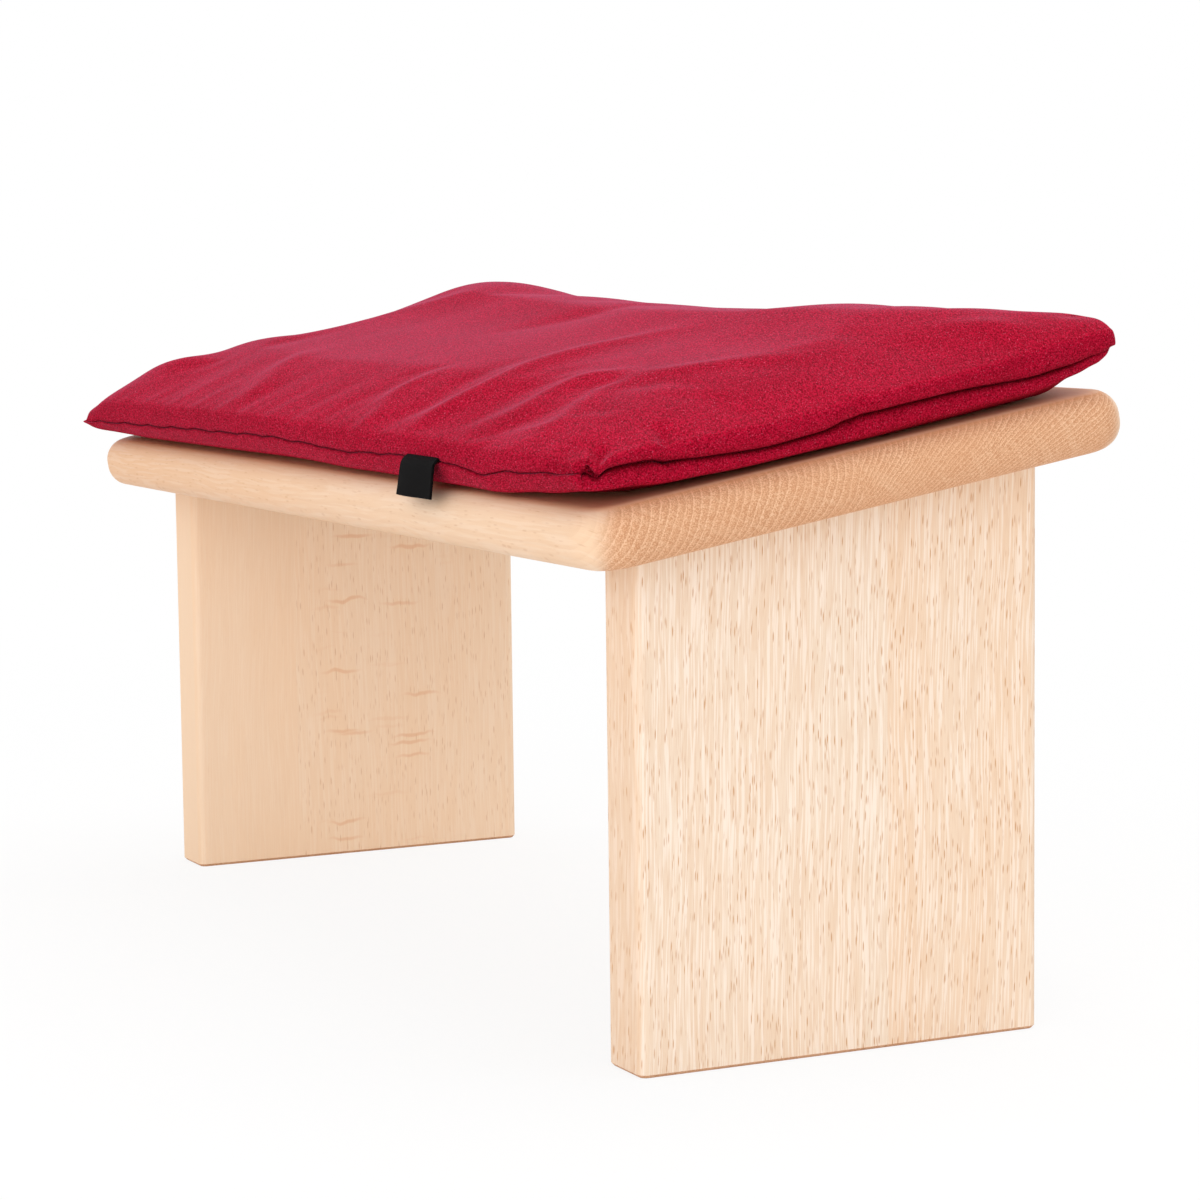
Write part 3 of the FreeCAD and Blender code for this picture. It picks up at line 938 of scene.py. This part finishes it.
# creases pressed into the finished cloth: width, push and line, through x, along and height
creases = [
    (2.4, (-4.5, 3.5, -0.4), [(223, -89.5, 12.4), (221, -87, 12.2)]),
    (2.0, (-2.8, 1.0, -2.4), [(224, -86.5, 13), (223.5, -84.8, 15), (217.5, -81, 16.2),
                              (210, -77.5, 17.5)]),
    (2.2, (1.2, 0, 0.8), [(226, -83, 13.5), (225, -81.5, 15)]),
    (4.0, (1.0, 0, 0.2), [(227, -76, 13.5), (226, -71, 14)]),
    (2.0, (-3.0, 0.4, -2.2), [(222, -63.6, 13.6), (221, -62.6, 15), (215, -59.5, 16.5),
                              (206, -55.5, 18.6)]),
    (4.0, (-1.2, 0, -0.8), [(224, -60.5, 13.6), (223, -59.5, 14.6), (216, -56, 16.5)]),
    (5.0, (1.2, 0, 0.4), [(228, -52, 12), (227, -48, 15)]),
    (2.0, (-2.4, 0, -1.2), [(226, -5, 8.5), (225, -2.5, 11.5), (220, 0, 15)]),
    (4.0, (0.9, 0, 0), [(227, 3, 12), (226, 8, 14), (222, 16, 17)]),
    (2.4, (-1.2, 0, 0), [(227, 50, 11), (226, 56, 14), (220, 60, 18)]),
    (1.6, (0, 1.4, -0.3), [(215, -90.5, 12.1), (208, -91.5, 12.8), (199, -92, 13)]),
]
creaseShape = {
    "reach": 3.5,  # widths beyond which a crease isn't felt
    "flatten": 0.75,  # a crease reaches farther along its push than to the sides
    "fadesFrom": 0.6,  # share of the line from which it runs out
}


def creaseAmount(spot, line, push, width):
    # how strongly a crease takes hold of a point, 0 to 1
    best, place = math.inf, 0.0
    for step, (start, end) in enumerate(zip(line, line[1:])):
        run = end - start
        share = min(max((spot - start).dot(run) / run.length_squared, 0.0), 1.0)
        away = spot - start - run * share
        away -= push.normalized() * away.dot(push.normalized()) * creaseShape["flatten"]
        if away.length < best:
            best, place = away.length, (step + share) / (len(line) - 1)
    fades = creaseShape["fadesFrom"]
    return (1 - smooth((place - fades) / (1 - fades))) * math.exp(-(best / width) ** 2)


def creaseCloth(points, faces, pressed):
    # one subdivision, then the creases are pushed in; gives the mesh in its place
    coarse = addMesh("coarse", [Vector(point) for point in points], faces)
    coarse.attributes.new("pressed", "FLOAT", "POINT").data.foreach_set("value", pressed)
    piece = addObject("coarse", coarse)
    finer = piece.modifiers.new("finer", "SUBSURF")
    finer.levels = finer.render_levels = 1
    shape = bpy.data.meshes.new_from_object(solved(piece))
    shape.name = "cushionCover"
    bpy.data.objects.remove(piece)
    moves = {}
    for width, push, line in creases:
        push, line = Vector(push), [Vector(place) for place in line]
        middle = sum(line, Vector()) / len(line)
        reach = max((place - middle).length for place in line) + creaseShape["reach"] * width + 4
        for vertex in shape.vertices:
            if (vertex.co - middle).length <= reach:
                amount = creaseAmount(vertex.co, line, push, width)
                moves[vertex.index] = moves.get(vertex.index, Vector()) + push * amount
    for number, move in moves.items():
        shape.vertices[number].co += move
    for vertex in shape.vertices:
        vertex.co = onSeat(*vertex.co)
    shape.update()
    return shape


fleece = {
    **screenColours(
        deep=(112, 0, 18), bright=(193, 20, 55), faded=(168, 14, 44), fibre=(236, 104, 134),
        # the darkest tone is painted shade inside the seam
        pressed=(96, 0, 16), sheenTint=(255, 165, 210)),
    "nap": 2.1,  # tufts to a millimetre, across the lay of the nap
    "lay": (0.9, -0.41, 0.0),
    "layLength": 5.0,  # the nap is combed, so a tuft is this much longer along its lay
    "napDepth": 0.25 * mm,
    "clump": 0.5,
    "shade": 0.03,
    "shine": 0.04,
    "sheen": 0.34,
    "sheenRoughness": 0.22,
}


def fleeceFinish():
    finish = newFinish("bordeaux fleece")
    place = finish.place()
    lay = Vector(fleece["lay"]).normalized()
    combed = finish.node("CombineXYZ", {}, {
        0: finish.dot(place, lay) / fleece["layLength"],
        1: finish.dot(place, lay.cross(upward)), 2: finish.dot(place, upward)})
    fuzz = finish.noise(combed, scale=fleece["nap"], detail=1.0, roughness=0.6)
    fibre = finish.noise(combed, scale=fleece["nap"] * 1.3, detail=1.0, roughness=0.6)
    clump = finish.noise(combed, scale=fleece["clump"])
    shade = finish.noise(place, scale=fleece["shade"])
    # painted shade: inside the seam the cloth is painted darker, and there and where it faces down
    # it has no sheen
    pressed = finish.node("Attribute", {"attribute_name": "pressed"}, {}, "Fac")
    under = finish.between(finish.facing(upward), -0.6, -0.9)
    colour = finish.layered(fleece["deep"], [
        (finish.between(fuzz, 0.25, 0.75), fleece["bright"]),
        (finish.between(clump, 0.4, 0.7) * 0.2, fleece["faded"]),
        (finish.between(shade, 0.35, 0.7) * 0.15, fleece["deep"]),
        (finish.between(fibre, 0.6, 0.8) * 0.5, fleece["fibre"]),
        (pressed * 0.35, fleece["pressed"]),
    ])
    plain = {"Base Color": colour, "Roughness": 1.0, "Specular IOR Level": fleece["shine"],
             "Normal": finish.bump(fuzz * 0.9 + clump * 0.35, fleece["napDepth"], 0.6)}
    napped = finish.coat(dict(plain, **{
        "Sheen Weight": fleece["sheen"], "Sheen Roughness": fleece["sheenRoughness"],
        "Sheen Tint": fleece["sheenTint"]}))
    return finish.show(finish.node("MixShader", {}, {
        0: finish.math("MAXIMUM", pressed * 0.5, under), 1: napped, 2: finish.coat(plain)}))


points, faces, held, pressed = cushionMesh()
cover = addObject("cushionCover", creaseCloth(puffUp(points, faces, held), faces, pressed))
for face in cover.data.polygons:
    face.use_smooth = True
cover.data.materials.append(fleeceFinish())
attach(cover, "cushion")
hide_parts("cushion_cover_top", "cushion_cover_bottom", "cushion_filling")
print("cushion:", len(points), "points")


# Blank woven tab, folded once and caught in the front seam

tab = {
    "middle": 111.2,
    "width": 24.4,
    "thickness": 0.9,
    "across": 14,
    "down": 18,
    # out from the middle of the seat and up from the board, from inside the seam to the hem
    "path": [(87.0, 10.9), (90.6, 10.3), (92.2, 9.2), (93.0, 7.2), (93.7, 4.6), (94.4, 2.0),
             (95.2, -0.7)],
    "lean": 1.6,  # the hem hangs a little askew
    "droop": 0.4,
    "ripple": 0.5,
    "softEdge": 0.2,
    **screenColours(dark=(3, 3, 3), pale=(20, 18, 19)),
    "threads": {"X": 1.1, "Z": 0.9},
    "threadDepth": 0.1 * mm,
}


def curveThrough(path, share):
    # a smooth curve through the path's points: its place and its way on, share from 0 to 1
    path = [Vector(place) for place in path]
    path = [path[0] * 2 - path[1]] + path + [path[-1] * 2 - path[-2]]
    step = min(int(share * (len(path) - 3)), len(path) - 4)
    t = share * (len(path) - 3) - step
    a, b, c, d = path[step:step + 4]
    first, second, third = c - a, a * 2 - b * 5 + c * 4 - d, b * 3 - a - c * 3 + d
    return ((b * 2 + first * t + second * t ** 2 + third * t ** 3) / 2,
            first + second * (2 * t) + third * (3 * t ** 2))


def tabPoint(share, drop, outer):
    # share runs over the width, drop runs down from the seam, both 0 to 1
    spot, way = curveThrough(tab["path"], drop)
    if outer:
        spot += Vector((-way.y, way.x)).normalized() * tab["thickness"]
    ripple = tab["ripple"] * drop * math.sin(share * 4.2 + 0.6)
    x = tab["middle"] + (share - 0.5) * tab["width"] - tab["lean"] * drop
    return onSeat(x, -spot.x - ripple, spot.y - tab["droop"] * drop * share)


def tabFinish():
    finish = newFinish("black woven tape")
    place = finish.place()
    warp, weft = [finish.node(
        "TexWave", {"wave_type": "BANDS", "bands_direction": way},
        {"Vector": place, "Scale": count, "Distortion": 0.3}, "Fac")
        for way, count in tab["threads"].items()]
    weave = warp * 0.5 + weft * 0.5
    return finish.show(finish.coat({
        "Base Color": finish.mix(weave, tab["dark"], tab["pale"]),
        "Roughness": weave * 0.15 + 0.75, "Specular IOR Level": 0.06,
        "Normal": finish.bump(weave, tab["threadDepth"], 0.5),
    }))


def makeTab():
    across, down = tab["across"], tab["down"]
    points = [tabPoint(i / across, j / down, outer) for outer in (True, False)
              for i in range(across + 1) for j in range(down + 1)]

    def number(outer, i, j):
        return (0 if outer else (across + 1) * (down + 1)) + i * (down + 1) + j
    faces = []
    for outer in (True, False):
        for i in range(across):
            for j in range(down):
                ring = [number(outer, i, j), number(outer, i, j + 1),
                        number(outer, i + 1, j + 1), number(outer, i + 1, j)]
                faces.append(ring if outer else ring[::-1])
    rim = ([(i, 0) for i in range(across)] + [(across, j) for j in range(down)]
           + [(i, down) for i in range(across, 0, -1)] + [(0, j) for j in range(down, 0, -1)])
    for here, there in zip(rim, rim[1:] + rim[:1]):
        faces.append([number(True, *here), number(True, *there),
                      number(False, *there), number(False, *here)])
    made = addObject("seamTab", addMesh("seamTab", points, faces))
    edge = made.modifiers.new("soft edge", "BEVEL")
    edge.width, edge.segments = tab["softEdge"] * mm, 2
    made.data.materials.append(tabFinish())
    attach(made, "cushion")
    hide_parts("cushion_label")


makeTab()
print("tab sewn in")


# Studio: white floor, soft lights and the camera

white = (1, 1, 1, 1)
studio = {
    "ambient": 0.8,
    "aim": (0, 0, 0.12),
    "floorHalf": 4.0,
    "floorTones": [(0.86, 0.86, 0.86, 1), (0.9, 0.9, 0.9, 1)],
    "floorGlow": (0.85, 1.0),  # near the bench and away from it
    "glowPlace": (300.0, 1000.0),  # between these distances in millimetres
}
lamps = {
    "key": {"place": (1.7, -1.5, 1.0), "size": 1.8, "power": 16.5},
    "fill": {"place": (-1.0, -1.9, 0.6), "size": 1.6, "power": 4.0},
    "top": {"place": (0.1, 0.4, 1.9), "size": 1.6, "power": 14.0},
}


def seenShare(finish):
    # 1 for rays that come straight from the camera or off metal and glass
    ray = finish.tree.nodes.new("ShaderNodeLightPath")
    camera, glossy, through = [Wire(finish, ray.outputs[name]) for name in (
        "Is Camera Ray", "Is Glossy Ray", "Is Transmission Ray")]
    return finish.math("MAXIMUM", finish.math("MAXIMUM", camera, glossy), through)


def floorFinish():
    finish = newFinish("studio floor")
    place = finish.place()
    colour = finish.mix(finish.noise(place, scale=0.01, detail=1.0) * 0.2, *studio["floorTones"])
    matt = finish.node("BsdfDiffuse", {}, {"Color": colour}, "BSDF")
    glow = finish.node("Emission", {}, {"Color": white, "Strength": 1.0})
    away = finish.vectorMath("LENGTH", {0: place}, "Value")
    share = finish.between(away, *studio["glowPlace"], *studio["floorGlow"])
    return finish.show(finish.node("MixShader", {}, {
        0: seenShare(finish) * share, 1: matt, 2: glow}))


def makeFloor():
    half = studio["floorHalf"]
    corners = [(-half, -half, 0), (half, -half, 0), (half, half, 0), (-half, half, 0)]
    floor = addObject("studioFloor", addMesh("studioFloor", corners, [(0, 1, 2, 3)]))
    floor.data.materials.append(floorFinish())


def makeLamp(name, lamp):
    data = bpy.data.lights.new(name, "AREA")
    data.shape = "SQUARE"
    data.size = lamp["size"]
    data.energy = lamp["power"]
    made = addObject(name, data)
    made.location = lamp["place"]
    aim = Vector(studio["aim"]) - made.location
    made.rotation_euler = aim.to_track_quat("-Z", "Y").to_euler()


def makeWorld():
    # white where it is seen, softer where it only lights the bench
    finish = Finish(bpy.data.worlds.new("studio"))
    strength = finish.node("MapRange", {}, {
        0: seenShare(finish), 3: studio["ambient"], 4: 1.0})
    glow = finish.node("Background", {}, {"Color": white, "Strength": strength})
    bpy.context.scene.world = finish.show(glow, "OutputWorld")


camera = {
    "place": (1.06024, -0.49149, 0.23953),
    "turn": 1.1212070,  # to the left of straight along +Y
    "dip": 0.1040879,
    "roll": -0.0119610,
    "lens": 101.20,
    "sensor": 36.0,
    "clip": (0.05, 20.0),
}


def makeCamera():
    turn, dip, roll = camera["turn"], camera["dip"], camera["roll"]
    forward = Vector((-math.sin(turn) * math.cos(dip), math.cos(turn) * math.cos(dip),
                      -math.sin(dip)))
    right = Vector((math.cos(turn), math.sin(turn), 0))
    up = right.cross(forward)
    data = bpy.data.cameras.new("camera")
    data.lens, data.sensor_width = camera["lens"], camera["sensor"]
    data.clip_start, data.clip_end = camera["clip"]
    made = addObject("camera", data)
    turned = Matrix((right * math.cos(roll) + up * math.sin(roll),
                     up * math.cos(roll) - right * math.sin(roll), -forward)).transposed()
    made.matrix_world = Matrix.Translation(camera["place"]) @ turned.to_4x4()
    bpy.context.scene.camera = made


makeFloor()
for name, lamp in lamps.items():
    makeLamp(name, lamp)
makeWorld()
makeCamera()
bpy.context.scene.view_settings.view_transform = "Standard"
print("studio and camera set")
